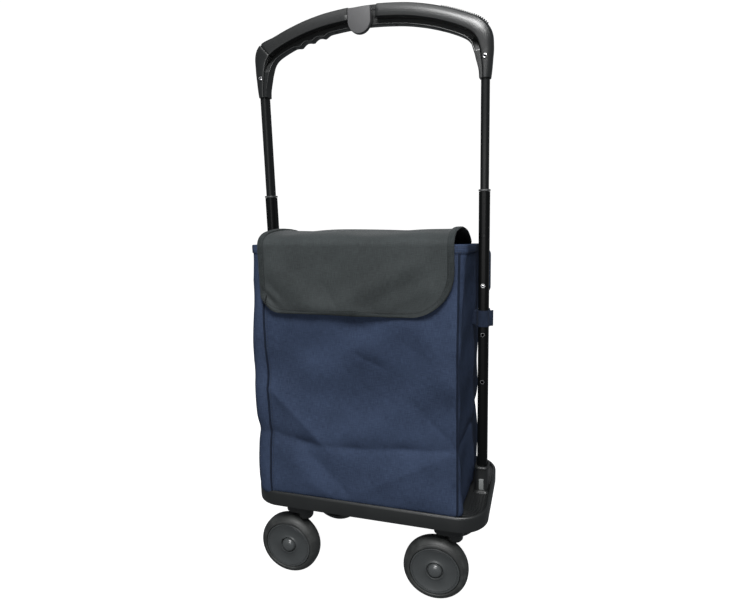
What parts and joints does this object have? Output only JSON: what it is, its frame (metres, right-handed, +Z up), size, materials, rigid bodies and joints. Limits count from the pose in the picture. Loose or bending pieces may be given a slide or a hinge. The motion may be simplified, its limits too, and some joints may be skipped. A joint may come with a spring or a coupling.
{
  "type": "shopping trolley",
  "caption": "Four-wheeled shopping trolley with a telescopic arched handle, a tray base on swivel casters and a box-shaped fabric bag with a top flap.",
  "frame": {"origin": "middle of the footprint of the base, on the floor under the wheels", "axes": "+X to the trolley's right seen from the front, +Y to the back, +Z up; the bag's front and the flap face -Y"},
  "size_m": [0.3692, 0.201, 0.8668],
  "materials": {
    "tyre_rubber": "matt",
    "steel": "satin",
    "hub_plastic": "semi-gloss",
    "coated_tube": "satin powder coat",
    "grey_plastic": "matt",
    "tab_plastic": "matt",
    "flap_fabric": "woven",
    "bag_fabric": "woven",
    "board": "matt",
    "handle_plastic": "satin",
    "base_plastic": "satin"
  },
  "bodies": {
    "base": {"base_tray": "base_plastic", "socket_left": "base_plastic", "socket_right": "base_plastic", "outer_tube_left": "coated_tube", "outer_tube_right": "coated_tube", "bush_left": "grey_plastic", "bush_right": "grey_plastic", "bag_body": "bag_fabric", "bag_board": "board", "rear_pocket": "bag_fabric", "strap_left": "bag_fabric", "strap_right": "bag_fabric", "front_right_kingpin": "steel", "front_left_kingpin": "steel", "rear_right_kingpin": "steel", "rear_left_kingpin": "steel"},
    "handle": {"handle_rear_shell": "handle_plastic", "handle_left_elbow": "handle_plastic", "handle_grip": "handle_plastic", "handle_right_shell": "handle_plastic", "inner_tube_left": "coated_tube", "inner_tube_right": "coated_tube", "leg_screw_left": "steel", "leg_screw_right": "steel", "lip_screw_1": "steel", "lip_screw_2": "steel", "lip_screw_3": "steel", "lip_screw_4": "steel", "tab_pivot": "steel"},
    "release_tab": {"release_tab": "tab_plastic"},
    "lock_pin_left": {"lock_pin_left": "steel"},
    "lock_pin_right": {"lock_pin_right": "steel"},
    "latch_left": {"latch_left": "grey_plastic"},
    "latch_right": {"latch_right": "grey_plastic"},
    "flap": {"bag_flap": "flap_fabric"},
    "fork_front_right": {"front_right_fork": "base_plastic", "front_right_axle": "steel"},
    "wheel_front_right": {"front_right_tyre": "tyre_rubber", "front_right_hub": "hub_plastic", "front_right_hub_cap": "hub_plastic"},
    "fork_front_left": {"front_left_fork": "base_plastic", "front_left_axle": "steel"},
    "wheel_front_left": {"front_left_tyre": "tyre_rubber", "front_left_hub": "hub_plastic", "front_left_hub_cap": "hub_plastic"},
    "fork_rear_right": {"rear_right_fork": "base_plastic", "rear_right_axle": "steel"},
    "wheel_rear_right": {"rear_right_tyre": "tyre_rubber", "rear_right_hub": "hub_plastic", "rear_right_hub_cap": "hub_plastic"},
    "fork_rear_left": {"rear_left_fork": "base_plastic", "rear_left_axle": "steel"},
    "wheel_rear_left": {"rear_left_tyre": "tyre_rubber", "rear_left_hub": "hub_plastic", "rear_left_hub_cap": "hub_plastic"}
  },
  "joints": [
    {"name": "handle_slide", "type": "slide", "parent": "base", "child": "handle", "axis": [0, 0, 1], "range_m": [-0.1458, 0.0729]},
    {"name": "release_tab_press", "type": "hinge", "parent": "handle", "child": "release_tab", "pos_m": [-0.0073, -0.008, 0.857], "axis": [1, 0, 0], "range_deg": [0, 7], "stiffness_Nm_per_rad": 0.4},
    {"name": "lock_pin_left_slide", "type": "slide", "parent": "handle", "child": "lock_pin_left", "axis": [0, 1, 0], "range_m": [0, 0.003]},
    {"name": "lock_pin_right_slide", "type": "slide", "parent": "handle", "child": "lock_pin_right", "axis": [0, 1, 0], "range_m": [0, 0.003]},
    {"name": "latch_left_press", "type": "slide", "parent": "base", "child": "latch_left", "axis": [0, 1, 0], "range_m": [0, 0.0015], "stiffness_N_per_m": 300},
    {"name": "latch_right_press", "type": "slide", "parent": "base", "child": "latch_right", "axis": [0, 1, 0], "range_m": [0, 0.0015], "stiffness_N_per_m": 300},
    {"name": "flap_lift", "type": "hinge", "parent": "base", "child": "flap", "pos_m": [0, 0.0865, 0.5212], "axis": [-1, 0, 0], "range_deg": [0, 140]},
    {"name": "front_right_swivel", "type": "hinge", "parent": "base", "child": "fork_front_right", "pos_m": [0.1195, -0.078, 0.115], "axis": [0, 0, 1], "continuous": true},
    {"name": "front_right_spin", "type": "hinge", "parent": "fork_front_right", "child": "wheel_front_right", "pos_m": [0.10951, -0.07835, 0.049], "axis": [-0.0349, 0.9994, 0], "continuous": true},
    {"name": "front_left_swivel", "type": "hinge", "parent": "base", "child": "fork_front_left", "pos_m": [-0.1195, -0.078, 0.115], "axis": [0, 0, 1], "continuous": true},
    {"name": "front_left_spin", "type": "hinge", "parent": "fork_front_left", "child": "wheel_front_left", "pos_m": [-0.1295, -0.078, 0.049], "axis": [0, 1, 0], "continuous": true},
    {"name": "rear_right_swivel", "type": "hinge", "parent": "base", "child": "fork_rear_right", "pos_m": [0.1195, 0.078, 0.115], "axis": [0, 0, 1], "continuous": true},
    {"name": "rear_right_spin", "type": "hinge", "parent": "fork_rear_right", "child": "wheel_rear_right", "pos_m": [0.1095, 0.078, 0.049], "axis": [0, 1, 0], "continuous": true},
    {"name": "rear_left_swivel", "type": "hinge", "parent": "base", "child": "fork_rear_left", "pos_m": [-0.1195, 0.078, 0.115], "axis": [0, 0, 1], "continuous": true},
    {"name": "rear_left_spin", "type": "hinge", "parent": "fork_rear_left", "child": "wheel_rear_left", "pos_m": [-0.1095, 0.078, 0.049], "axis": [0, -1, 0], "continuous": true}
  ],
  "couplings": [
    {"joint": "lock_pin_left_slide", "follows": "release_tab_press", "m_per_rad": 0.0245},
    {"joint": "lock_pin_right_slide", "follows": "release_tab_press", "m_per_rad": 0.0245}
  ]
}
